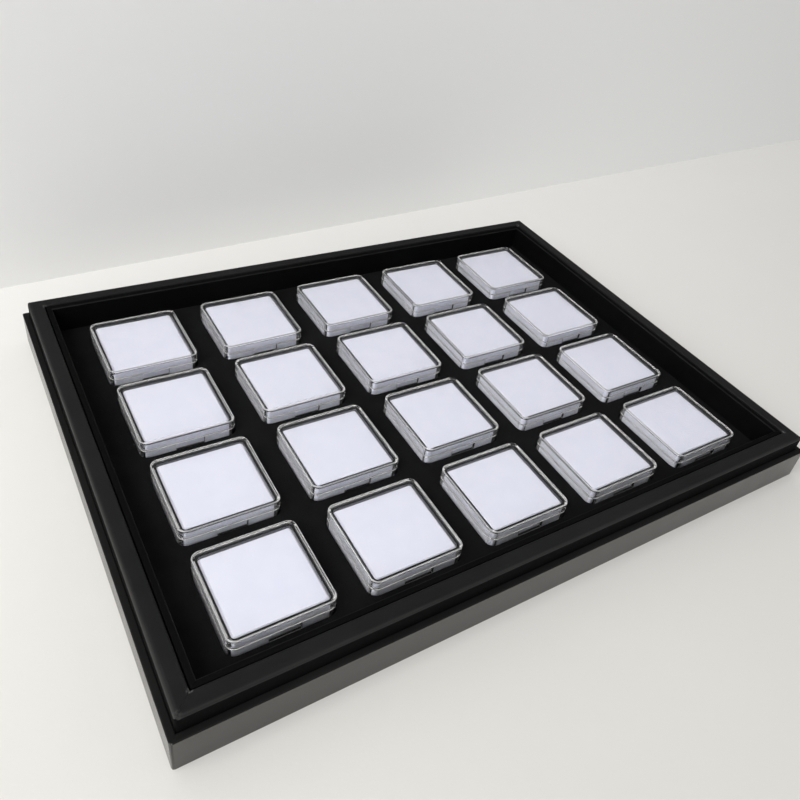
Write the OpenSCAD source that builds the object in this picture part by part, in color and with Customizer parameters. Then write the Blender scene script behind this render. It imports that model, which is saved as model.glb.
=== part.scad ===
// Mineral specimen box: a shallow black display tray with a stepped rim and a velvet pad.
// Twenty clear square stone cases stand in the pad's pockets, each with a lift-off lid
// and a white foam insert. The origin is at the middle of the underside, with +X along
// the long rows of cases and +Y away from the front.

/* [Stone cases] */
// Width and depth of one square case
case_w = 40; // [34:0.5:46]
// Height of a case with its lid on
case_h = 15; // [13:0.5:18]
// Radius of the upright corners of a case
case_corner_r = 3.5; // [2.5:0.25:6]
// Height of the lid, from the seam to its top face
lid_h = 4.7; // [3.6:0.1:6.5]
// Thickness of the lid's top
lid_top_t = 1.2; // [0.8:0.1:1.6]
// Thickness of the lid's side walls
lid_wall_t = 1.1; // [0.7:0.1:1.6]
// Radius of the rounded edge round the lid's top
lid_edge_r = 0.8; // [0.3:0.1:1]
// Thickness of the base's floor
case_floor_t = 1.2; // [0.8:0.1:2]
// Thickness of the lip that stands up inside the lid
lip_t = 0.85; // [0.6:0.05:1.4]
// Gap between the lip and the lid, on each side
lip_clearance = 0.15; // [0.1:0.05:0.3]
// Gap between the top of the lip and the lid's underside
lip_headroom = 0.5; // [0.3:0.1:0.9]
// Width of the finger notch in the front of the base
notch_w = 12; // [6:0.5:20]
// Height of the finger notch below the seam
notch_h = 3.4; // [2:0.1:5]
// Depth of the finger notch into the wall
notch_depth = 1; // [0.5:0.1:1.2]

/* [Foam inserts] */
// Gap round a foam insert, inside the base
foam_clearance = 0.75; // [0.3:0.05:1.5]
// Gap between the foam and the lid's underside
foam_headroom = 0.9; // [0.5:0.1:2]
// Gap under the foam
foam_seat_gap = 0.2; // [0.1:0.05:0.5]
// Radius of the foam's upright corners
foam_corner_r = 0.8; // [0.3:0.1:3]

/* [Layout] */
// Space between cases, and beside the end ones, along a row
gap_x = 13.1; // [6:0.1:25]
// Space between rows, and beyond the outer ones
gap_y = 9.5; // [6:0.1:25]

/* [Velvet pad] */
// Thickness of the pad
pad_t = 7.6; // [5:0.1:9]
// Gap round each case in its pocket
pocket_clearance = 0.3; // [0.2:0.05:0.8]
// Gap between the pad and the liner, on each side
pad_clearance = 0.15; // [0.1:0.05:0.5]

/* [Tray] */
// Thickness of the bottom board
board_t = 2.2; // [1.5:0.1:4]
// Thickness of the outer walls, which is the width of the ledge
wall_t = 2.7; // [2:0.1:5]
// Height of the outer walls
wall_h = 15.2; // [8:0.1:18]
// Radius of the tray's outer upright corners
wall_corner_r = 2; // [0.5:0.25:2.5]
// Radius of the outer edge round the ledge
wall_edge_r = 0.8; // [0.3:0.1:1.5]
// Width of the neck rails
rail_t = 6.5; // [5:0.1:12]
// Height of the top of the neck rails above the underside
rail_top = 23.2; // [21:0.1:34]
// Radius of the rounded outer edge along the top of a rail
rail_edge_r = 2.5; // [0.5:0.1:3.5]
// Radius of the inner edge along the top of a rail
rail_inner_r = 0.6; // [0.2:0.1:1]
// Radius of the neck's upright corners
rail_corner_r = 1.5; // [0.5:0.25:2.5]
// Thickness of the liner strips
liner_t = 2.5; // [1.5:0.1:5]
// Width of the seam between a liner strip and its rail
liner_seam = 0.4; // [0.2:0.1:1]
// Height of a rail's top above the liner's top
liner_drop = 0.6; // [0:0.1:2]
// Radius of the inner edge along the top of a liner strip
liner_edge_r = 0.6; // [0.2:0.1:0.8]

/* [Hidden] */
$fn = 48;
cut = 1;
columns = 5;
row_names = ["a", "b", "c", "d"];
rows = len(row_names);
side_names = ["front", "back", "left", "right"];
side_turns = [0, 180, -90, 90];

// The well is the open space inside the liner
well_w = columns * case_w + (columns + 1) * gap_x;
well_d = rows * case_w + (rows + 1) * gap_y;
pitch_x = case_w + gap_x;
pitch_y = case_w + gap_y;

// Distances of the inner and outer faces from the tray's middle, as [x, y]
liner_out = [well_w / 2 + liner_t, well_d / 2 + liner_t];
rail_out = [liner_out[0] + liner_seam + rail_t, liner_out[1] + liner_seam + rail_t];
wall_out = [rail_out[0] + wall_t, rail_out[1] + wall_t];
liner_top = rail_top - liner_drop;

// Levels in a case, measured from its own underside
seam_z = case_h - lid_h;
lid_under_z = case_h - lid_top_t;
lip_top_z = lid_under_z - lip_headroom;
foam_z = case_floor_t + foam_seat_gap;
foam_h = lid_under_z - foam_headroom - foam_z;

// Widths in a case, and the corner radii that keep its walls even
base_wall_t = lid_wall_t + lip_clearance + lip_t;
lid_hole_w = case_w - 2 * lid_wall_t;
lip_w = lid_hole_w - 2 * lip_clearance;
cavity_w = case_w - 2 * base_wall_t;
foam_w = cavity_w - 2 * foam_clearance;
lid_hole_r = case_corner_r - lid_wall_t;
lip_r = lid_hole_r - lip_clearance;
cavity_r = lip_r - lip_t;

// Rectangle with true round corners, centred
module rounded_rect(w, d, r) {
    square([w - 2 * r, d], center = true);
    square([w, d - 2 * r], center = true);
    for (x = [-1, 1], y = [-1, 1])
        translate([x * (w / 2 - r), y * (d / 2 - r)])
            circle(r);
}

// Square block with round upright corners, standing at height z
module rounded_block(w, r, z, h) {
    translate([0, 0, z])
        linear_extrude(h)
            rounded_rect(w, w, r);
}

// What a fillet takes off a corner that lies at the origin, with the solid at +X and -Y
module fillet_waste(r) {
    difference() {
        translate([-cut, -r])
            square([r + cut, r + cut]);
        translate([r, -r])
            circle(r);
    }
}

// Section of a bar, seen along it, with its outer face at x = 0
module bar_section(t, z0, z1, outer_r, inner_r) {
    difference() {
        translate([0, z0])
            square([t, z1 - z0]);
        translate([0, z1])
            fillet_waste(outer_r);
        translate([t, z1])
            mirror([1, 0])
                fillet_waste(inner_r);
    }
}

// Mitred bar along the front of a frame that reaches out[0] and out[1] from the middle
module front_bar(out, t, z0, z1, outer_r, inner_r, corner_r) {
    intersection() {
        translate([-out[0], -out[1], 0])
            rotate([90, 0, 90])
                linear_extrude(2 * out[0])
                    bar_section(t, z0, z1, outer_r, inner_r);
        linear_extrude(z1)
            polygon([[-out[0], -out[1]], [out[0], -out[1]],
                     [out[0] - t, t - out[1]], [t - out[0], t - out[1]]]);
        linear_extrude(z1)
            rounded_rect(2 * out[0], 2 * out[1], corner_r);
    }
}

// The same bar on any side: 0 front, 1 back, 2 left, 3 right
module side_bar(side, out, t, z0, z1, outer_r, inner_r, corner_r) {
    along = side < 2 ? out : [out[1], out[0]];
    rotate([0, 0, side_turns[side]])
        front_bar(along, t, z0, z1, outer_r, inner_r, corner_r);
}

module bottom_board() {
    color([0.10, 0.10, 0.10])
        translate([-rail_out[0], -rail_out[1], 0])
            cube([2 * rail_out[0], 2 * rail_out[1], board_t]);
}

module wall(side) {
    color([0.16, 0.15, 0.15])
        side_bar(side, wall_out, wall_t, 0, wall_h, wall_edge_r, wall_edge_r / 2, wall_corner_r);
}

module rail(side) {
    color([0.13, 0.13, 0.13])
        side_bar(side, rail_out, rail_t, board_t, rail_top, rail_edge_r, rail_inner_r, rail_corner_r);
}

module liner(side) {
    color([0.09, 0.09, 0.09])
        side_bar(side, liner_out, liner_t, board_t, liner_top, liner_edge_r, liner_edge_r, liner_edge_r);
}

module velvet_pad() {
    pocket_w = case_w + 2 * pocket_clearance;
    color([0.06, 0.06, 0.06])
        translate([0, 0, board_t])
            linear_extrude(pad_t)
                difference() {
                    square([well_w - 2 * pad_clearance, well_d - 2 * pad_clearance], center = true);
                    for (column = [0:columns - 1], row = [0:rows - 1])
                        translate(pocket_place(column, row))
                            rounded_rect(pocket_w, pocket_w, case_corner_r + pocket_clearance);
                }
}

// Middle of a pocket, counted from the front left one
function pocket_place(column, row) =
    [(column - (columns - 1) / 2) * pitch_x, (row - (rows - 1) / 2) * pitch_y];

module in_pocket(column, row) {
    place = pocket_place(column, row);
    translate([place[0], place[1], board_t])
        children();
}

module case_base() {
    color([0.75, 0.76, 0.80, 0.6])
        difference() {
            union() {
                rounded_block(case_w, case_corner_r, 0, seam_z);
                rounded_block(lip_w, lip_r, seam_z - cut, lip_top_z - seam_z + cut);
            }
            rounded_block(cavity_w, cavity_r, case_floor_t, case_h);
            translate([-notch_w / 2, -case_w / 2 - cut, seam_z - notch_h])
                cube([notch_w, notch_depth + cut, notch_h]);
        }
}

module foam_insert() {
    color([0.90, 0.91, 0.95])
        rounded_block(foam_w, foam_corner_r, foam_z, foam_h);
}

module stone_case() {
    case_base();
    foam_insert();
}

// Section of the lid's outside, rounded along its top edge
module lid_section() {
    translate([-case_w / 2, 0])
        bar_section(case_w, seam_z, case_h, lid_edge_r, lid_edge_r);
}

module lid() {
    color([0.80, 0.81, 0.85, 0.5])
        difference() {
            intersection() {
                rounded_block(case_w, case_corner_r, seam_z, lid_h);
                translate([0, case_w / 2, 0])
                    rotate([90, 0, 0])
                        linear_extrude(case_w)
                            lid_section();
                translate([-case_w / 2, 0, 0])
                    rotate([90, 0, 90])
                        linear_extrude(case_w)
                            lid_section();
            }
            rounded_block(lid_hole_w, lid_hole_r, seam_z - cut, lid_under_z - seam_z + cut);
        }
}

bottom_board();
velvet_pad();
for (side = [0:3]) {
    wall(side);
    rail(side);
    liner(side);
}
for (row = [0:rows - 1], column = [0:columns - 1]) {
    place_name = str(row_names[row], column + 1);
    in_pocket(column, row) stone_case();
    in_pocket(column, row) lid();
}
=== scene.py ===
# %% [markdown]
# # A mineral specimen box
# A flat black display tray holds twenty clear stone cases, five to a row and four rows deep.
# Each case has a base, a lift-off lid and a white foam insert. The CAD model is the frame:
# every piece below is measured from its nodes, so nothing has to be fitted by eye.

import math
import random

import bmesh
import bpy
from mathutils import Matrix, Vector


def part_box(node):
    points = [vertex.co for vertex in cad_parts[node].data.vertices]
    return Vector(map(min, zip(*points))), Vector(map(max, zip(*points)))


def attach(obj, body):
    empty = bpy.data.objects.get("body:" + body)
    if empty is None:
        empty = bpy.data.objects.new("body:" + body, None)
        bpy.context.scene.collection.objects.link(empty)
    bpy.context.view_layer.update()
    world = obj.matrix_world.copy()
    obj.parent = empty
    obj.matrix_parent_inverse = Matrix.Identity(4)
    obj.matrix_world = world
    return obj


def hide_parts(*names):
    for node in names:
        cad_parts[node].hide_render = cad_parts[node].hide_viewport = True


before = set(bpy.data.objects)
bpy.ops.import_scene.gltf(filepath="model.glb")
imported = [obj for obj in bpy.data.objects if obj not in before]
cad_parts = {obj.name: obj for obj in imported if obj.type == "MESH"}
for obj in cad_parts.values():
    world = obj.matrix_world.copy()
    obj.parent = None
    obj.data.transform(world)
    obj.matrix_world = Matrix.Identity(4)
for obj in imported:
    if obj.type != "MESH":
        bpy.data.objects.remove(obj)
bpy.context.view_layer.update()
mm = 0.001

# %% [markdown]
# ## The camera
# The photograph was taken from the front left, looking down on the tray at 36 degrees, with
# the camera tipped a little. Its place, lens and shift were worked out from the corners of
# the twenty inserts, so the tray's edges converge as they do in the photograph. Light goes
# through many clear faces in a row, so the scene allows long chains of bounces.

# %% Camera
camera_place = Vector((-172.6, -230.1, 245.0)) * mm
camera_aim = Vector((17.6, 16.5, 15.1)) * mm
camera_roll = math.radians(10.15)
camera_lens = 34.47
camera_shift = (-0.0335, -0.0562)
clear_bounces = 32
shiny_bounces = 16

bpy.ops.object.camera_add(location=camera_place)
camera = bpy.context.object
camera.name = "photo_camera"
level = (camera_aim - camera_place).to_track_quat("-Z", "Y").to_matrix()
camera.rotation_euler = (level @ Matrix.Rotation(camera_roll, 3, "Z")).to_euler()
camera.data.lens = camera_lens
camera.data.shift_x, camera.data.shift_y = camera_shift
camera.data.clip_start = 0.005
camera.data.dof.use_dof = False
bpy.context.scene.camera = camera
bpy.context.scene.cycles.max_bounces = clear_bounces
bpy.context.scene.cycles.transmission_bounces = clear_bounces
bpy.context.scene.cycles.glossy_bounces = shiny_bounces
bpy.context.scene.cycles.blur_glossy = 0.0
bpy.context.scene.view_settings.view_transform = "Standard"
print("camera", [round(value, 4) for value in camera_place])

# %% [markdown]
# ## Small tools for modelling
# A piece is made as by hand: a primitive is put where the CAD node is, and faces and edges
# are picked by their place or direction, then inset, extruded, bevelled or cut by a plane.
# Everything is deselected first, because an operator acts on all that is selected.

# %% Modelling helpers
def to_object_mode():
    """Leaves edit mode and lets go of every object."""
    if bpy.context.object and bpy.context.object.mode != "OBJECT":
        bpy.ops.object.mode_set(mode="OBJECT")
    bpy.ops.object.select_all(action="DESELECT")


def make_active(piece):
    """Leaves edit mode and selects one piece alone."""
    to_object_mode()
    piece.select_set(True)
    bpy.context.view_layer.objects.active = piece


def work_on(piece):
    """Selects one piece and opens it in edit mode."""
    make_active(piece)
    bpy.ops.object.mode_set(mode="EDIT")


def start_block(name, low, high):
    """A block between two corners, open in edit mode."""
    to_object_mode()
    low, high = Vector(low), Vector(high)
    bpy.ops.mesh.primitive_cube_add(size=1, location=(low + high) / 2)
    block = bpy.context.object
    block.name = block.data.name = name
    block.scale = high - low
    bpy.ops.object.transform_apply(location=True, rotation=True, scale=True)
    work_on(block)
    return block


def pick(kind, test):
    """Selects the faces or edges of the open piece that pass a test."""
    bpy.ops.mesh.select_mode(type=kind)
    bpy.ops.mesh.select_all(action="DESELECT")
    mesh = bmesh.from_edit_mesh(bpy.context.object.data)
    mesh.faces.ensure_lookup_table()
    mesh.normal_update()
    found = [item for item in (mesh.faces if kind == "FACE" else mesh.edges) if test(item)]
    for item in found:
        item.select_set(True)
    bmesh.update_edit_mesh(bpy.context.object.data)
    return len(found)


def middle(edge):
    """The point halfway along an edge."""
    return (edge.verts[0].co + edge.verts[1].co) / 2


def runs(edge, axis):
    """True if an edge runs along an axis: 0 is x, 1 is y and 2 is z."""
    step = edge.verts[1].co - edge.verts[0].co
    return abs(step[axis]) > 0.999 * step.length


def at(value, place, slack=0.02 * mm):
    """True if a value is within a slack of a place."""
    return abs(value - place) < slack


def level_at(edge, height):
    """True if both ends of an edge are at a height."""
    return all(at(vert.co.z, height) for vert in edge.verts)


def looks(face, way):
    """True if a face looks straight up, way 1, or straight down, way -1."""
    return face.normal.z * way > 0.999


def round_off(radius, segments):
    """Rounds the picked edges."""
    bpy.ops.mesh.bevel(offset=radius, segments=segments, profile=0.5, affect="EDGES")


def extrude_by(height):
    """Extrudes the picked faces straight up, or down if the height is negative."""
    bpy.ops.mesh.extrude_region_move(TRANSFORM_OT_translate={"value": (0, 0, height)})


def cut_away(point, normal):
    """Cuts the whole open piece by a plane, drops what lies beyond and closes the cut."""
    bpy.ops.mesh.select_all(action="SELECT")
    bpy.ops.mesh.bisect(plane_co=point, plane_no=normal, use_fill=True, clear_outer=True)


print("modelling helpers ready")


# %% Finishing helpers
def soft_edges(piece, width, segments=2, angle=35):
    """Rounds every edge sharper than an angle, with a bevel modifier that is applied."""
    make_active(piece)
    bevel = piece.modifiers.new("soft_edges", "BEVEL")
    bevel.width = width
    bevel.segments = segments
    bevel.limit_method = "ANGLE"
    bevel.angle_limit = math.radians(angle)
    bevel.harden_normals = False
    bpy.ops.object.modifier_apply(modifier=bevel.name)


def close_up(piece, smooth_angle=32):
    """Merges doubles, turns every face outwards, and smooths the rounds but not the flats."""
    work_on(piece)
    bpy.ops.mesh.select_all(action="SELECT")
    bpy.ops.mesh.remove_doubles(threshold=0.002 * mm)
    bpy.ops.mesh.normals_make_consistent(inside=False)
    make_active(piece)
    bpy.ops.object.shade_smooth_by_angle(angle=math.radians(smooth_angle))
    flat = piece.modifiers.new("flat_faces", "WEIGHTED_NORMAL")
    flat.mode = "FACE_AREA"
    flat.weight = 90
    flat.keep_sharp = True
    bpy.ops.object.modifier_apply(modifier=flat.name)
    to_object_mode()


def set_finishes(piece, *finishes):
    """Gives a piece these materials in this order, and no others."""
    piece.data.materials.clear()
    for finish in finishes:
        piece.data.materials.append(finish)


def copy_of(model, name, shift, turn=0.0):
    """A copy with its own mesh, moved and turned about its own upright middle line."""
    piece = model.copy()
    piece.data = model.data.copy()
    piece.name = piece.data.name = name
    piece.data.transform(Matrix.Translation(shift) @ Matrix.Rotation(turn, 4, "Z"))
    bpy.context.scene.collection.objects.link(piece)
    return piece


print("finishing helpers ready")

# %% [markdown]
# ## Patterns that several finishes share
# Black wrap, board paper, velvet and plastic all have a fine relief or faint patches. Each
# effect is a node group that puts out a height or a mask, and every material places it with
# its own numbers. Object coordinates are in metres here, so scales are counts per metre.


# %% Node helpers
def group_of(name, inputs, outputs):
    """An empty node group with named sockets. Returns its tree, its input and output nodes."""
    tree = bpy.data.node_groups.new(name, "ShaderNodeTree")
    for title, kind, value in inputs:
        socket = tree.interface.new_socket(name=title, in_out="INPUT", socket_type=kind)
        if value is not None:
            socket.default_value = value
    for title in outputs:
        tree.interface.new_socket(name=title, in_out="OUTPUT", socket_type="NodeSocketFloat")
    return tree, tree.nodes.new("NodeGroupInput"), tree.nodes.new("NodeGroupOutput")


def add(tree, kind, links=(), **settings):
    """A new node with its settings, whose inputs are linked or set by name or number."""
    node = tree.nodes.new(kind)
    for key, value in settings.items():
        setattr(node, key, value)
    for socket, value in dict(links).items():
        if isinstance(value, bpy.types.NodeSocket):
            tree.links.new(value, node.inputs[socket])
        else:
            node.inputs[socket].default_value = value
    return node


def sums(tree, operation, first, second):
    """A math node on two sockets or numbers."""
    node = add(tree, "ShaderNodeMath", {0: first, 1: second}, operation=operation)
    return node.outputs[0]


def spread(tree, value, low, high, to_low=0.0, to_high=1.0):
    """Maps low..high to another range, smoothly and clamped."""
    node = add(tree, "ShaderNodeMapRange",
               {"Value": value, "From Min": low, "From Max": high, "To Min": to_low, "To Max": to_high},
               interpolation_type="SMOOTHSTEP")
    return node.outputs["Result"]


def noise(tree, vector, scale, detail=2.0, roughness=0.5):
    """Soft noise, about 0 to 1."""
    node = add(tree, "ShaderNodeTexNoise",
               {"Vector": vector, "Scale": scale, "Detail": detail, "Roughness": roughness})
    return node.outputs["Fac"]


def cells(tree, vector, scale, feature="F1"):
    """The distance to the middles, or to the edges, of scattered cells."""
    node = add(tree, "ShaderNodeTexVoronoi", {"Vector": vector, "Scale": scale}, feature=feature)
    return node.outputs["Distance"]


print("node helpers ready")


# %% Grain, patches and specks
def make_grain():
    """Pebbled grain: rounded cells with creases between them, over a finer tooth."""
    tree, given, result = group_of(
        "pebble_grain",
        [("Vector", "NodeSocketVector", None), ("Cells per metre", "NodeSocketFloat", 1800.0),
         ("Tooth", "NodeSocketFloat", 0.3)],
        ["Height"])
    wobble = add(tree, "ShaderNodeTexNoise",
                 {"Vector": given.outputs["Vector"], "Scale": 900.0, "Detail": 1.0})
    bend = 0.0006
    bent = add(tree, "ShaderNodeMixRGB",
               {0: bend, 1: given.outputs["Vector"], 2: wobble.outputs["Color"]}, blend_type="ADD")
    crease = cells(tree, bent.outputs[0], given.outputs["Cells per metre"], "DISTANCE_TO_EDGE")
    pebble = spread(tree, crease, 0.0, 0.35)
    tooth = sums(tree, "MULTIPLY", noise(tree, given.outputs["Vector"], 9000.0), given.outputs["Tooth"])
    tree.links.new(sums(tree, "ADD", pebble, tooth), result.inputs["Height"])
    return tree


def make_patches():
    """Slow changes over the surface, from 0 to 1, for colour and gloss."""
    tree, given, result = group_of(
        "slow_patches",
        [("Vector", "NodeSocketVector", None), ("Patches per metre", "NodeSocketFloat", 30.0)],
        ["Mask"])
    clouds = noise(tree, given.outputs["Vector"], given.outputs["Patches per metre"], 3.0, 0.55)
    tree.links.new(spread(tree, clouds, 0.3, 0.7), result.inputs["Mask"])
    return tree


def make_specks():
    """Scattered specks of dust or lint, 1 on a speck and 0 elsewhere."""
    tree, given, result = group_of(
        "stray_specks",
        [("Vector", "NodeSocketVector", None), ("Specks per metre", "NodeSocketFloat", 90.0),
         ("Size", "NodeSocketFloat", 0.02)],
        ["Mask"])
    distance = cells(tree, given.outputs["Vector"], given.outputs["Specks per metre"])
    mask = add(tree, "ShaderNodeMapRange",
               {"Value": distance, "From Min": given.outputs["Size"], "From Max": 0.0})
    some = spread(tree, noise(tree, given.outputs["Vector"], 60.0, 0.0), 0.5, 0.6)
    tree.links.new(sums(tree, "MULTIPLY", mask.outputs["Result"], some), result.inputs["Mask"])
    return tree


grain_group, patch_group, speck_group = make_grain(), make_patches(), make_specks()
print("pattern groups", [tree.name for tree in (grain_group, patch_group, speck_group)])


# %% Worn edges and corners, with painted highlights and glints
def folded(tree, vector):
    """Coordinates with their signs dropped, so that all four sides are treated alike."""
    return add(tree, "ShaderNodeVectorMath", {0: vector}, operation="ABSOLUTE").outputs[0]


def make_edge_wear_highlight():
    """1 along a level edge round a frame, where it is worn and a highlight is painted on, falling to 0
    at a width, broken up by wear.
    """
    tree, given, result = group_of(
        "edge_wear_and_painted_highlight",
        [("Vector", "NodeSocketVector", None), ("Edge x", "NodeSocketFloat", 0.15),
         ("Edge y", "NodeSocketFloat", 0.11), ("Edge z", "NodeSocketFloat", 0.02),
         ("Width", "NodeSocketFloat", 0.001)],
        ["Mask"])
    parts = add(tree, "ShaderNodeSeparateXYZ", {0: folded(tree, given.outputs["Vector"])})
    off_x = sums(tree, "SUBTRACT", parts.outputs[0], given.outputs["Edge x"])
    off_y = sums(tree, "SUBTRACT", parts.outputs[1], given.outputs["Edge y"])
    off_z = sums(tree, "SUBTRACT", parts.outputs[2], given.outputs["Edge z"])
    flat = sums(tree, "MAXIMUM", off_x, off_y)
    away = sums(tree, "SQRT", sums(tree, "ADD", sums(tree, "MULTIPLY", flat, flat),
                                   sums(tree, "MULTIPLY", off_z, off_z)), 0.0)
    near = sums(tree, "SUBTRACT", 1.0, sums(tree, "DIVIDE", away, given.outputs["Width"]))
    uneven = spread(tree, noise(tree, given.outputs["Vector"], 70.0, 3.0, 0.6), 0.25, 0.7, 0.45, 1.0)
    tree.links.new(sums(tree, "MULTIPLY", spread(tree, near, 0.0, 1.0), uneven), result.inputs["Mask"])
    return tree


def make_corner_wear_glint():
    """1 at the four corners of a frame, where they are worn and a glint is painted on, and 0 beyond a
    reach, with a rough outline.
    """
    tree, given, result = group_of(
        "corner_wear_and_painted_glint",
        [("Vector", "NodeSocketVector", None), ("Corner", "NodeSocketVector", (0.15, 0.11, 0.02)),
         ("Reach", "NodeSocketFloat", 0.001)],
        ["Mask"])
    away = add(tree, "ShaderNodeVectorMath",
               {0: folded(tree, given.outputs["Vector"]), 1: given.outputs["Corner"]},
               operation="DISTANCE").outputs["Value"]
    near = sums(tree, "SUBTRACT", 1.0, sums(tree, "DIVIDE", away, given.outputs["Reach"]))
    rough = spread(tree, noise(tree, given.outputs["Vector"], 1600.0, 2.0), 0.35, 0.65)
    tree.links.new(sums(tree, "MULTIPLY", spread(tree, near, 0.0, 0.5), rough), result.inputs["Mask"])
    return tree


edge_wear_highlight_group, corner_wear_glint_group = make_edge_wear_highlight(), make_corner_wear_glint()
print("rub groups", edge_wear_highlight_group.name, corner_wear_glint_group.name)


# %% Material helpers
def new_finish(name):
    """A material with a Principled shader. Returns its tree, shader and coordinates."""
    material = bpy.data.materials.new(name)
    material.use_nodes = True
    tree = material.node_tree
    shader = next(node for node in tree.nodes if node.type == "BSDF_PRINCIPLED")
    place = tree.nodes.new("ShaderNodeTexCoord").outputs["Object"]
    return material, tree, shader, place


def pattern(tree, group, place, output, **numbers):
    """Places a pattern group in a material and returns the named output."""
    node = tree.nodes.new("ShaderNodeGroup")
    node.node_tree = group
    tree.links.new(place, node.inputs["Vector"])
    for title, value in numbers.items():
        node.inputs[title.replace("_", " ")].default_value = value
    return node.outputs[output]


def mixed(tree, mask, under, over):
    """A colour over another by a mask; either may be a socket or a plain colour."""
    node = add(tree, "ShaderNodeMix", {0: mask}, data_type="RGBA")
    for slot, colour in ((6, under), (7, over)):
        if isinstance(colour, bpy.types.NodeSocket):
            tree.links.new(colour, node.inputs[slot])
        else:
            node.inputs[slot].default_value = (*colour, 1)
    return node.outputs[2]


def relief(tree, shader, height, depth):
    """Gives a shader a bump of this depth from a height."""
    node = add(tree, "ShaderNodeBump", {"Height": height, "Distance": depth, "Strength": 1.0})
    tree.links.new(node.outputs["Normal"], shader.inputs["Normal"])


def mirrored(tree, share):
    """1 for most rays, and less for one that came by way of shiny or clear faces alone."""
    path = tree.nodes.new("ShaderNodeLightPath")
    bounced = sums(tree, "SUBTRACT", 1.0, path.outputs["Is Camera Ray"])
    chain = sums(tree, "MULTIPLY", bounced, sums(tree, "LESS_THAN", path.outputs["Diffuse Depth"], 0.5))
    return spread(tree, chain, 0.0, 1.0, 1.0, share)


print("material helpers ready")

# %% [markdown]
# ## Black finishes
# The outer faces of the walls have a coated wrap with a slight brown cast, which mirrors the
# table in front of it. The ledge on top of them is duller. The rails have a half-dull wrap,
# and the upright outer face of the neck is plain dull paper. The strips inside the rails are
# the darkest. The board has its own paper and a grey lining sheet. All seven finishes share
# one grain at different sizes. On some edges and corners a lighter grey is laid: partly wear
# where hands touch them, partly a painted highlight along the rounds and painted glints.


# %% Wrap finish
def wrap_finish(name, dark, light, roughness, grain, depth, specular,
                rubs=(), tooth=0.3, waves=0.0):
    """A black wrap with grain and patches. Each of its rubs, wear that also paints on highlights and
    glints, is a grey, a group and settings.
    """
    material, tree, shader, place = new_finish(name)
    patches = pattern(tree, patch_group, place, "Mask", Patches_per_metre=24.0)
    colour = mixed(tree, patches, dark, light)
    dull = spread(tree, patches, 0.0, 1.0, roughness - 0.04, roughness + 0.05)
    for grey, group, numbers in rubs:
        # Each rub lays a lighter grey: partly wear, partly a painted highlight along an edge and painted
        # glints at corners.
        wear_highlight = pattern(tree, group, place, "Mask", **numbers)
        colour = mixed(tree, wear_highlight, colour, (grey, grey, grey * 0.97))
    tree.links.new(colour, shader.inputs["Base Color"])
    tree.links.new(dull, shader.inputs["Roughness"])
    height = pattern(tree, grain_group, place, "Height", Cells_per_metre=grain, Tooth=tooth)
    if waves:
        swell = sums(tree, "MULTIPLY", noise(tree, place, 55.0, 1.0), waves)
        height = sums(tree, "ADD", height, swell)
    relief(tree, shader, height, depth)
    shader.inputs["Specular IOR Level"].default_value = specular
    return material


print("wrap finish ready")


# %% Reach of the frames
def reach_of(kind):
    """How far a frame reaches to the right and to the front, from its right and front bars."""
    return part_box("right_" + kind)[1].x, -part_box("front_" + kind)[0].y


wall_low, wall_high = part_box("front_wall")
rail_low, rail_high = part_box("front_rail")
liner_low, liner_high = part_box("front_liner")
wall_reach, rail_reach, liner_reach = reach_of("wall"), reach_of("rail"), reach_of("liner")
rail_t = rail_high.y - rail_low.y
liner_t = liner_high.y - liner_low.y
print("wall reach", [round(value, 4) for value in wall_reach])


# %% Seven black finishes
def edge_wear_and_highlight(grey, reach, inset, level, width):
    """A rubbed edge with a painted highlight, which lies inset from a frame's outside, with its grey and
    its width.
    """
    return grey, edge_wear_highlight_group, {"Edge_x": reach[0] - inset, "Edge_y": reach[1] - inset,
                              "Edge_z": level, "Width": width}


def corner_wear_and_glint(grey, reach, inset, level, size):
    """Four rubbed corners with painted glints, which lie inset from a frame's outside, with their grey
    and size.
    """
    return grey, corner_wear_glint_group, {"Corner": (reach[0] - inset, reach[1] - inset, level), "Reach": size}


wall_finish = wrap_finish(
    "black_coated_wrap", (0.0105, 0.0085, 0.0070), (0.0165, 0.0125, 0.0100),
    roughness=0.22, grain=1500.0, depth=0.010 * mm, specular=0.9, waves=6.0)
# The ledge's rubs are a faint painted highlight along its outer top edge and painted glints at its
# corners, partly wear.
ledge_finish = wrap_finish(
    "black_ledge_wrap", (0.0078, 0.0078, 0.0078), (0.0120, 0.0120, 0.0118),
    roughness=0.55, grain=2000.0, depth=0.006 * mm, specular=0.16,
    rubs=(edge_wear_and_highlight(0.012, wall_reach, 0.2 * mm, wall_high.z - 0.2 * mm, 0.5 * mm),
          corner_wear_and_glint(0.30, wall_reach, 0.3 * mm, wall_high.z - 0.2 * mm, 0.8 * mm)))
# The rail's rubs are a painted highlight along its rounded outer edge and painted glints at its mitre
# corners, partly wear.
rail_finish = wrap_finish(
    "black_rail_wrap", (0.0098, 0.0098, 0.0104), (0.0132, 0.0132, 0.0138),
    roughness=0.38, grain=1900.0, depth=0.012 * mm, specular=0.27,
    rubs=(edge_wear_and_highlight(0.026, rail_reach, 0.6 * mm, rail_high.z - 0.6 * mm, 0.75 * mm),
          corner_wear_and_glint(0.10, rail_reach, rail_t, rail_high.z, 1.3 * mm),
          corner_wear_and_glint(0.035, rail_reach, 0.9 * mm, rail_high.z - 0.8 * mm, 2.2 * mm)), waves=4.0)
neck_finish = wrap_finish(
    "black_neck_paper", (0.0032, 0.0032, 0.0034), (0.0046, 0.0046, 0.0048),
    roughness=0.8, grain=2600.0, depth=0.02 * mm, specular=0.06)
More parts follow.
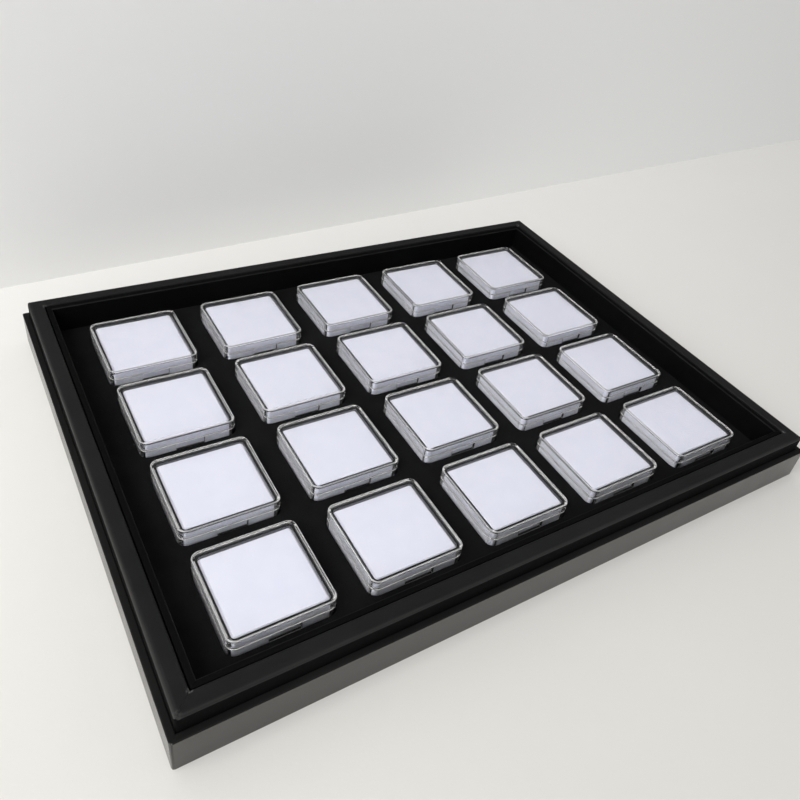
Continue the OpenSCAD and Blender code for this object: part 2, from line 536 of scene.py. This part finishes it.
# The liner's rub is a painted highlight along its inner top edge.
liner_finish = wrap_finish(
    "black_liner_wrap", (0.0024, 0.0024, 0.0026), (0.0036, 0.0036, 0.0038),
    roughness=0.7, grain=2400.0, depth=0.02 * mm, specular=0.07,
    rubs=(edge_wear_and_highlight(0.020, liner_reach, liner_t - 0.15 * mm, liner_high.z - 0.15 * mm, 0.5 * mm),))
board_finish = wrap_finish(
    "black_board_paper", (0.012, 0.012, 0.012), (0.017, 0.016, 0.016),
    roughness=0.75, grain=3200.0, depth=0.02 * mm, specular=0.25, tooth=0.8)
lining_finish = wrap_finish(
    "grey_lining_paper", (0.020, 0.020, 0.021), (0.028, 0.028, 0.029),
    roughness=0.85, grain=4200.0, depth=0.02 * mm, specular=0.2, tooth=1.2)
print("black finishes", wall_finish.name, ledge_finish.name, rail_finish.name, neck_finish.name)
print("more of them", liner_finish.name, board_finish.name, lining_finish.name)

# %% [markdown]
# ## Velvet
# Flocked velvet is short upright pile. It is nearly black from above, with a faint sheen where
# the view grazes it, and it catches a little lint. Fine noise makes the tips of the pile.


# %% Velvet finish
def velvet_material():
    """Nearly black pile with lint on it and a faint sheen at a low view."""
    material, tree, shader, place = new_finish("black_velvet_pile")
    patches = pattern(tree, patch_group, place, "Mask", Patches_per_metre=45.0)
    pile = mixed(tree, patches, (0.0078, 0.0078, 0.0082), (0.0104, 0.0104, 0.0109))
    lint = pattern(tree, speck_group, place, "Mask", Specks_per_metre=70.0, Size=0.016)
    tree.links.new(mixed(tree, lint, pile, (0.16, 0.155, 0.15)), shader.inputs["Base Color"])
    tips = sums(tree, "ADD", noise(tree, place, 5200.0, 1.0), noise(tree, place, 1400.0, 1.0))
    relief(tree, shader, tips, 0.12 * mm)
    shader.inputs["Roughness"].default_value = 1.0
    shader.inputs["Specular IOR Level"].default_value = 0.01
    shader.inputs["Sheen Weight"].default_value = 0.012
    shader.inputs["Sheen Roughness"].default_value = 0.45
    shader.inputs["Sheen Tint"].default_value = (0.8, 0.8, 0.85, 1)
    return material


velvet_finish = velvet_material()
print("velvet", velvet_finish.name)

# %% [markdown]
# ## Clear plastic
# The cases are moulded in clear polystyrene, which bends light about as much as glass does.
# Their rims are rubbed, and are also made milky, which paints on the bright line of their
# highlight. The front and left sides are made a little milky with faint streaks, which is
# painted light on the sides that face the lamps. Where lid and base meet, the faces were left dull.


# %% Clear plastic finishes
def clear_material(name, clearness, polish, rubbed, streaked=False):
    """Clear plastic. A lower clearness makes it milky, and rubbed patches are less polished."""
    material, tree, shader, place = new_finish(name)
    shader.inputs["Base Color"].default_value = (0.99, 0.99, 0.995, 1)
    shader.inputs["Transmission Weight"].default_value = clearness
    if streaked:
        level = add(tree, "ShaderNodeVectorMath", {0: place, 1: (0.12, 0.12, 1.0)}, operation="MULTIPLY")
        faint = spread(tree, noise(tree, level.outputs[0], 1400.0, 2.0), 0.35, 0.65)
        tree.links.new(mixed(tree, faint, (0.93, 0.93, 0.935), (1, 1, 1)), shader.inputs["Base Color"])
    shader.inputs["IOR"].default_value = 1.49
    rubs = pattern(tree, patch_group, place, "Mask", Patches_per_metre=160.0)
    tree.links.new(spread(tree, rubs, 0.35, 1.0, polish, rubbed), shader.inputs["Roughness"])
    relief(tree, shader, noise(tree, place, 200.0, 1.0), 0.006 * mm)
    return material


clear_finish = clear_material("clear_styrene", clearness=1.0, polish=0.012, rubbed=0.06)
# Milky copies of the clear finish: on the rims a painted highlight, on the front and left faces painted
# light.
rim_painted_highlight_finish = clear_material("rubbed_milky_rims_painted_highlight", clearness=0.68, polish=0.02, rubbed=0.10)
front_painted_light_finish = clear_material("milky_front_painted_light", clearness=0.93, polish=0.02, rubbed=0.08,
                              streaked=True)
left_painted_light_finish = clear_material("milky_left_sides_painted_light", clearness=0.80, polish=0.02, rubbed=0.10,
                             streaked=True)


def seam_material():
    """The faces where lid and base meet are dull, and catch the light inside the walls."""
    material, tree, shader, place = new_finish("dull_seam_faces")
    streaks = pattern(tree, patch_group, place, "Mask", Patches_per_metre=260.0)
    colour = mixed(tree, streaks, (0.74, 0.735, 0.71), (0.94, 0.935, 0.91))
    tree.links.new(colour, shader.inputs["Base Color"])
    shader.inputs["Roughness"].default_value = 0.5
    relief(tree, shader, noise(tree, place, 3000.0), 0.02 * mm)
    return material


seam_finish = seam_material()
clear_finishes = (clear_finish, seam_finish, rim_painted_highlight_finish, left_painted_light_finish, front_painted_light_finish)
print("clear plastic", [finish.name for finish in clear_finishes])

# %% [markdown]
# ## White foam
# Each insert is a fine closed-cell foam sheet, white with a cool cast. Its cells are a few
# tenths of a millimetre wide, so its face looks like suede from near and plain from far.


# %% Foam finish
def foam_material():
    """Fine white foam that lets a little light into its face."""
    material, tree, shader, place = new_finish("white_foam")
    patches = pattern(tree, patch_group, place, "Mask", Patches_per_metre=140.0)
    colour = mixed(tree, patches, (0.805, 0.815, 0.95), (0.83, 0.838, 0.975))
    tree.links.new(colour, shader.inputs["Base Color"])
    skin = sums(tree, "ADD", cells(tree, place, 3600.0), noise(tree, place, 7000.0, 2.0))
    relief(tree, shader, skin, 0.012 * mm)
    shader.inputs["Roughness"].default_value = 0.95
    shader.inputs["Specular IOR Level"].default_value = 0.15
    shader.inputs["Subsurface Weight"].default_value = 0.7
    shader.inputs["Subsurface Radius"].default_value = (1.0, 1.0, 1.0)
    shader.inputs["Subsurface Scale"].default_value = 1.6 * mm
    return material


foam_finish = foam_material()
print("foam", foam_finish.name)

# %% [markdown]
# ## The mitred frames
# The outer walls, the neck rails and the liner strips are three frames, one inside another,
# each of four bars that meet in mitres. A bar starts as a block, its long top edges are
# rounded, and planes cut its ends: one for the mitre, then a few that follow the arc of the
# upright corner. The cut edge is eased, which leaves the fine joint line seen at each corner.

# %% Bars of the frames
side_turns = {"front": 0.0, "back": math.pi, "left": -math.pi / 2, "right": math.pi / 2}
corner_angles = (9, 24, 39)
mitre_joint = 0.07 * mm
outer_band = 0.5 * mm


def make_bar(name, reach, depth, z_low, z_high, outer_r, inner_r, corner_r):
    """The front bar of a frame that reaches reach[0] sideways and reach[1] forwards."""
    half, front = reach
    bar = start_block(name, (-half, -front, z_low), (half, depth - front, z_high))
    pick("EDGE", lambda e: runs(e, 0) and at(middle(e).z, z_high) and at(middle(e).y, -front))
    round_off(outer_r, 6)
    pick("EDGE", lambda e: runs(e, 0) and at(middle(e).z, z_high) and at(middle(e).y, depth - front))
    round_off(inner_r, 4)
    for side in (-1, 1):
        cut_away((side * half, -front, 0), (side, 1, 0))
        bpy.ops.mesh.bevel(offset=mitre_joint, segments=1, affect="EDGES")
        pivot = Vector((side * (half - corner_r), corner_r - front, 0))
        for degrees in corner_angles:
            angle = math.radians(degrees)
            outward = Vector((side * math.sin(angle), -math.cos(angle), 0))
            cut_away(pivot + outward * corner_r, outward)
    return bar


def make_frame(kind, reach, depth, z_low, z_high, outer_r, inner_r, corner_r, finish, outside):
    """Four bars, each replacing the CAD node of its side. Their outer faces have a finish apart."""
    for side, turn in side_turns.items():
        along = reach if side in ("front", "back") else (reach[1], reach[0])
        name = side + "_" + kind + "_wrap"
        bar = make_bar(name, along, depth, z_low, z_high, outer_r, inner_r, corner_r)
        close_up(bar)
        set_finishes(bar, finish, outside)
        for face in bar.data.polygons:
            face.material_index = int(face.normal.z < 0.2 and face.center.y < outer_band - along[1])
        bar.data.transform(Matrix.Rotation(turn, 4, "Z"))
        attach(bar, "tray")
        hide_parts(side + "_" + kind)
        print(bar.name, "faces", len(bar.data.polygons))


# %% Outer walls, neck rails and liner strips
rail_edge_r = 2.0 * mm
make_frame("wall", wall_reach, wall_high.y - wall_low.y, wall_low.z, wall_high.z,
           outer_r=0.45 * mm, inner_r=0.4 * mm, corner_r=1.1 * mm,
           finish=ledge_finish, outside=wall_finish)
make_frame("rail", rail_reach, rail_t, rail_low.z, rail_high.z,
           outer_r=rail_edge_r, inner_r=0.6 * mm, corner_r=1.5 * mm,
           finish=rail_finish, outside=neck_finish)
make_frame("liner", liner_reach, liner_t, liner_low.z, liner_high.z,
           outer_r=0.6 * mm, inner_r=0.6 * mm, corner_r=0.6 * mm,
           finish=liner_finish, outside=liner_finish)

# %% [markdown]
# ## The bottom board
# The board closes the tray from below. The wrap is turned over its edge, and a sheet of lining
# paper is pasted inside that border, slightly sunk, so the underside has a shallow step.

# %% Bottom board
board_low, board_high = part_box("bottom_board")
turn_in = 11 * mm
sheet_bevel = 0.4 * mm
sheet_step = 0.25 * mm
board = start_block("board_wrap", board_low, board_high)
pick("FACE", lambda f: looks(f, -1))
bpy.ops.mesh.inset(thickness=turn_in, depth=0)
bpy.ops.mesh.inset(thickness=sheet_bevel, depth=-sheet_step)
soft_edges(board, 0.15 * mm)
close_up(board)
set_finishes(board, board_finish, lining_finish)
for face in board.data.polygons:
    if face.normal.z < -0.99 and face.center.z > board_low.z + sheet_step / 2:
        face.material_index = 1
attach(board, "tray")
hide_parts("bottom_board")
print("board faces", len(board.data.polygons))

# %% [markdown]
# ## The velvet pad
# A sheet covered in velvet, with a pocket for each case. A plane is cut into a grid along
# the sides of the pockets, the pocket faces are taken out, and the rest is extruded down.
# The upright corners are rounded first, then the rims, where velvet rolls in.

# %% Velvet pad
columns, rows = 5, 4
row_names = "abcd"
case_low, case_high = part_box("case_a1")
case_w = case_high.x - case_low.x
pad_low, pad_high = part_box("velvet_pad")
first_place = (case_low + case_high) / 2
last_low, last_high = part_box("case_d5")
last_place = (last_low + last_high) / 2
pitch = Vector(((last_place.x - first_place.x) / (columns - 1),
                (last_place.y - first_place.y) / (rows - 1), 0))
pocket_room = 0.3 * mm
pocket_half = case_w / 2 + pocket_room
pocket_r = 3.8 * mm
rim_r = 0.4 * mm
print("pitch", [round(value, 5) for value in pitch])


def place_of(column, row):
    """The middle of a pocket, on the floor plane."""
    return Vector((first_place.x + column * pitch.x, first_place.y + row * pitch.y, 0))


def in_pocket(point, slack=0.1 * mm):
    """True if a point is inside or on the rim of any pocket."""
    column = round((point.x - first_place.x) / pitch.x)
    row = round((point.y - first_place.y) / pitch.y)
    if not (0 <= column < columns and 0 <= row < rows):
        return False
    off = point - place_of(column, row)
    return max(abs(off.x), abs(off.y)) < pocket_half + slack


def make_pad():
    """The velvet sheet with its twenty rounded pockets."""
    to_object_mode()
    bpy.ops.mesh.primitive_plane_add(size=1, location=(0, 0, pad_high.z))
    pad = bpy.context.object
    pad.name = pad.data.name = "pad_with_pockets"
    pad.scale = (pad_high.x - pad_low.x, pad_high.y - pad_low.y, 1)
    bpy.ops.object.transform_apply(location=True, rotation=True, scale=True)
    work_on(pad)
    for column in range(columns):
        for side in (-1, 1):
            bpy.ops.mesh.select_all(action="SELECT")
            line = place_of(column, 0).x + side * pocket_half
            bpy.ops.mesh.bisect(plane_co=(line, 0, 0), plane_no=(1, 0, 0))
    for row in range(rows):
        for side in (-1, 1):
            bpy.ops.mesh.select_all(action="SELECT")
            line = place_of(0, row).y + side * pocket_half
            bpy.ops.mesh.bisect(plane_co=(0, line, 0), plane_no=(0, 1, 0))
    taken = pick("FACE", lambda f: in_pocket(f.calc_center_median(), -mm))
    bpy.ops.mesh.delete(type="FACE")
    bpy.ops.mesh.select_all(action="SELECT")
    extrude_by(pad_low.z - pad_high.z)
    bpy.ops.mesh.select_all(action="SELECT")
    bpy.ops.mesh.normals_make_consistent(inside=False)
    pick("EDGE", lambda e: runs(e, 2) and in_pocket(middle(e)))
    round_off(pocket_r, 6)
    pick("EDGE", lambda e: level_at(e, pad_high.z) and min(abs(f.normal.z) for f in e.link_faces) < 0.1)
    round_off(rim_r, 3)
    close_up(pad, 50)
    print("pockets", taken, "pad faces", len(pad.data.polygons))
    return pad


pad = make_pad()
set_finishes(pad, velvet_finish)
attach(pad, "tray")
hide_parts("velvet_pad")

# %% [markdown]
# ## One stone case
# The base, the lid and the foam are modelled once at the middle of the tray and copied to the
# twenty pockets. The base is a rounded block: its top is inset and raised for the lip that
# stands inside the lid, inset again and sunk for the hollow. A cutter takes out the finger
# notch under the seam. Every edge gets a small fillet, because moulded plastic has no true
# sharp edge, and the fillets catch the light.

# %% Base of a case
case_z = case_low.z
seam_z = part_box("lid_a1")[0].z
lid_top_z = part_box("lid_a1")[1].z
lip_top_z = 15.5 * mm
seam_gap = 0.03 * mm
case_r = 3.5 * mm
lid_wall = 1.1 * mm
lip_step = lid_wall + 0.15 * mm
lip_t = 0.85 * mm
plate_t = 1.2 * mm
floor_z = case_z + plate_t
lid_under_z = lid_top_z - plate_t
half = case_w / 2
notch_half = 6 * mm
notch_depth = 3.4 * mm
outer_zone = 1.2 * mm
edge_band = 0.3 * mm
seam_slack = 0.05 * mm


def rounded_block(name, half_w, radius, z_low, z_high, segments=8):
    """A square block with rounded upright corners, left open in edit mode."""
    block = start_block(name, (-half_w, -half_w, z_low), (half_w, half_w, z_high))
    pick("EDGE", lambda e: runs(e, 2))
    round_off(radius, segments)
    return block


def make_base():
    """A hollow base with a lip for the lid and a finger notch in front."""
    base = rounded_block("case_base", half, case_r, case_z, seam_z - seam_gap)
    pick("FACE", lambda f: looks(f, 1))
    bpy.ops.mesh.inset(thickness=lip_step)
    extrude_by(lip_top_z - seam_z + seam_gap)
    bpy.ops.mesh.inset(thickness=lip_t)
    extrude_by(floor_z - lip_top_z)
    cutter = start_block("notch_cutter", (-notch_half, -half - mm, seam_z - notch_depth),
                         (notch_half, mm - half, seam_z + mm))
    make_active(base)
    notch = base.modifiers.new("notch", "BOOLEAN")
    notch.operation = "DIFFERENCE"
    notch.solver = "EXACT"
    notch.object = cutter
    bpy.ops.object.modifier_apply(modifier=notch.name)
    bpy.data.objects.remove(cutter)
    soft_edges(base, 0.2 * mm, 3)
    close_up(base)
    return base


def finish_at(face):
    """The finish of one face of a base or lid: most are clear; outside, the rims and the left and front
    faces are made milky as painted light.
    """
    if max(abs(face.center.x), abs(face.center.y)) < half - outer_zone:
        return clear_finish
    if abs(face.normal.z) > 0.99 and at(face.center.z, seam_z, seam_slack):
        return seam_finish
    if face.normal.x < -0.6 and face.center.x < edge_band - half:
        return left_painted_light_finish
    if 0.25 < face.normal.z < 0.92:
        return rim_painted_highlight_finish
    if face.normal.y < -0.6 and face.center.y < edge_band - half:
        return front_painted_light_finish
    return clear_finish


def finish_clear(piece):
    """Gives every face of a base or lid its own clear finish."""
    set_finishes(piece, *clear_finishes)
    for face in piece.data.polygons:
        face.material_index = clear_finishes.index(finish_at(face))


base_model = make_base()
finish_clear(base_model)
print("base faces", len(base_model.data.polygons))

# %% [markdown]
# ## The lid
# The lid is the same rounded block, hollowed from below. Its upper edge has a larger round,
# which is part of the bright frame that is seen around each insert from above.


# %% Lid of a case
lid_edge_r = 0.8 * mm


def make_lid():
    """A hollow lid whose top edge is well rounded."""
    lid = rounded_block("case_lid", half, case_r, seam_z, lid_top_z)
    pick("EDGE", lambda e: level_at(e, lid_top_z))
    round_off(lid_edge_r, 4)
    pick("FACE", lambda f: looks(f, -1))
    bpy.ops.mesh.inset(thickness=lid_wall)
    extrude_by(lid_under_z - seam_z)
    soft_edges(lid, 0.18 * mm, 3, 50)
    close_up(lid)
    return lid


lid_model = make_lid()
finish_clear(lid_model)
print("lid faces", len(lid_model.data.polygons))

# %% [markdown]
# ## The foam insert
# The foam nearly fills the hollow of its case. Its sides stand close to the walls and shine
# through them as a pale band. Its top and bottom rims draw in with a small round, and its
# sides belly out a little towards half height.

# %% Foam insert
foam_half = 17.05 * mm
foam_r = 0.9 * mm
foam_low_z = 3.6 * mm
foam_high_z = 15.1 * mm
foam_swells = ((4.2, 0.58), (6.5, 0.63), (9.35, 0.66), (12.2, 0.63), (14.35, 0.52))


def make_foam():
    """A block with soft edges, whose sides are wider at each level by its swell in mm."""
    foam = rounded_block("foam_insert", foam_half, foam_r, foam_low_z, foam_high_z, 3)
    for level, _ in foam_swells:
        bpy.ops.mesh.select_all(action="SELECT")
        bpy.ops.mesh.bisect(plane_co=(0, 0, level * mm), plane_no=(0, 0, 1))
    for level, swell in foam_swells:
        grow = 1 + swell * mm / foam_half
        pick("EDGE", lambda e: level_at(e, level * mm))
        bpy.ops.transform.resize(value=(grow, grow, 1), center_override=(0, 0, level * mm))
    soft_edges(foam, 0.2 * mm, 3, 30)
    close_up(foam, 50)
    return foam


foam_model = make_foam()
set_finishes(foam_model, foam_finish)
print("foam faces", len(foam_model.data.polygons))

# %% [markdown]
# ## Twenty cases
# No case sits quite square in its pocket, so each is shifted and turned by a hair, inside
# the clearance. The base, foam and lid of one case get the same shift, so they stay nested.

# %% Place the cases
most_shift = 0.1
most_turn = 0.2
random.seed(20)
models = ((base_model, "base_", "case_", "clear_plastic"),
          (foam_model, "foam_", "case_", "white_foam"),
          (lid_model, "cover_", "lid_", "clear_plastic"))
for row in range(rows):
    for column in range(columns):
        label = row_names[row] + str(column + 1)
        aside, along = random.uniform(-most_shift, most_shift), random.uniform(-most_shift, most_shift)
        nudge = Vector((aside, along, 0)) * mm
        turn = math.radians(random.uniform(-most_turn, most_turn))
        for model, prefix, body, slot in models:
            piece = copy_of(model, prefix + label, place_of(column, row) + nudge, turn)
            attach(piece, body + label)
            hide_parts(body + label)
for model in (base_model, foam_model, lid_model):
    bpy.data.objects.remove(model)
print("cases", rows * columns)

# %% [markdown]
# ## Table, wall and light
# The tray lies on a pale table close to a pale wall, and neither is part of the object. Two
# soft lamps stand to the left, the larger one also in front. The table's colour is paler towards
# the wall and darker towards the front, which is painted shade. The room is taken to be darker
# than the wall, so both are dimmed where they are seen by way of shiny or clear faces. The wall
# is drawn from its front only, so that it hides nothing when the tray is looked at from behind.


# %% Table and wall
stage_size = 6
table_drop = 0.05 * mm
wall_place = (98.9 * mm, 181.1 * mm, 2.9)
wall_turn = math.radians(3.52)
wall_share = 0.25
world_share = 0.35


def stage_material(name, near, far, one_sided=False):
    """A pale matt surface that goes from the near colour to the far one, with faint patches; on the
    table this is painted shade, darker at the front.
    """
    material, tree, shader, place = new_finish(name)
    along = add(tree, "ShaderNodeSeparateXYZ", {0: place}).outputs[1]
    patches = pattern(tree, patch_group, place, "Mask", Patches_per_metre=6.0)
    # The near-to-far colour runs along y; on the table it is painted shade, darker towards the front.
    painted_shade_and_patches = sums(tree, "ADD", spread(tree, along, -0.25, 0.25), sums(tree, "MULTIPLY", patches, 0.06))
    colour = mixed(tree, painted_shade_and_patches, near, far)
    if one_sided:
        colour = mixed(tree, mirrored(tree, wall_share), (0, 0, 0), colour)
    tree.links.new(colour, shader.inputs["Base Color"])
    relief(tree, shader, noise(tree, place, 900.0, 3.0), 0.03 * mm)
    shader.inputs["Roughness"].default_value = 0.8
    shader.inputs["Specular IOR Level"].default_value = 0.2
    if one_sided:
        behind = tree.nodes.new("ShaderNodeNewGeometry").outputs["Backfacing"]
        mix = add(tree, "ShaderNodeMixShader", {0: behind})
        tree.links.new(shader.outputs[0], mix.inputs[1])
        tree.links.new(tree.nodes.new("ShaderNodeBsdfTransparent").outputs[0], mix.inputs[2])
        shown = next(node for node in tree.nodes if node.type == "OUTPUT_MATERIAL")
        tree.links.new(mix.outputs[0], shown.inputs["Surface"])
    return material


to_object_mode()
bpy.ops.mesh.primitive_plane_add(size=stage_size, location=(0, 0, -table_drop))
table = bpy.context.object
table.name = "table_top"
# The table's darker near colour is painted shade towards the front.
table.data.materials.append(stage_material("pale_table", (0.70, 0.688, 0.66), (0.89, 0.88, 0.855)))
bpy.ops.mesh.primitive_plane_add(size=stage_size, location=wall_place,
                                 rotation=(math.pi / 2, 0, wall_turn))
wall = bpy.context.object
wall.name = "room_wall"
wall.data.materials.append(stage_material("pale_wall", (0.88, 0.88, 0.875), (0.88, 0.88, 0.87), True))
print("stage", table.name, wall.name)


# %% Lamps and world
def soft_lamp(name, place, size, watts):
    """A square lamp that is aimed at the middle of the tray."""
    bpy.ops.object.light_add(type="AREA", location=place)
    lamp = bpy.context.object
    lamp.name = name
    lamp.data.size = size
    lamp.data.energy = watts
    lamp.data.color = (1.0, 0.99, 0.97)
    lamp.rotation_euler = (-Vector(place)).to_track_quat("-Z", "Y").to_euler()


soft_lamp("window_light", (-1.3, -1.0, 1.3), size=1.2, watts=19.0)
soft_lamp("near_light", (-0.75, 0.05, 0.8), size=0.6, watts=4.6)
world = bpy.data.worlds.new("pale_room")
bpy.context.scene.world = world
world.use_nodes = True
tree = world.node_tree
background = next(node for node in tree.nodes if node.type == "BACKGROUND")
background.inputs["Color"].default_value = (0.93, 0.94, 0.95, 1)
room_light = 0.52
strength = sums(tree, "MULTIPLY", mirrored(tree, world_share), room_light)
tree.links.new(strength, background.inputs["Strength"])
print("room light", room_light)
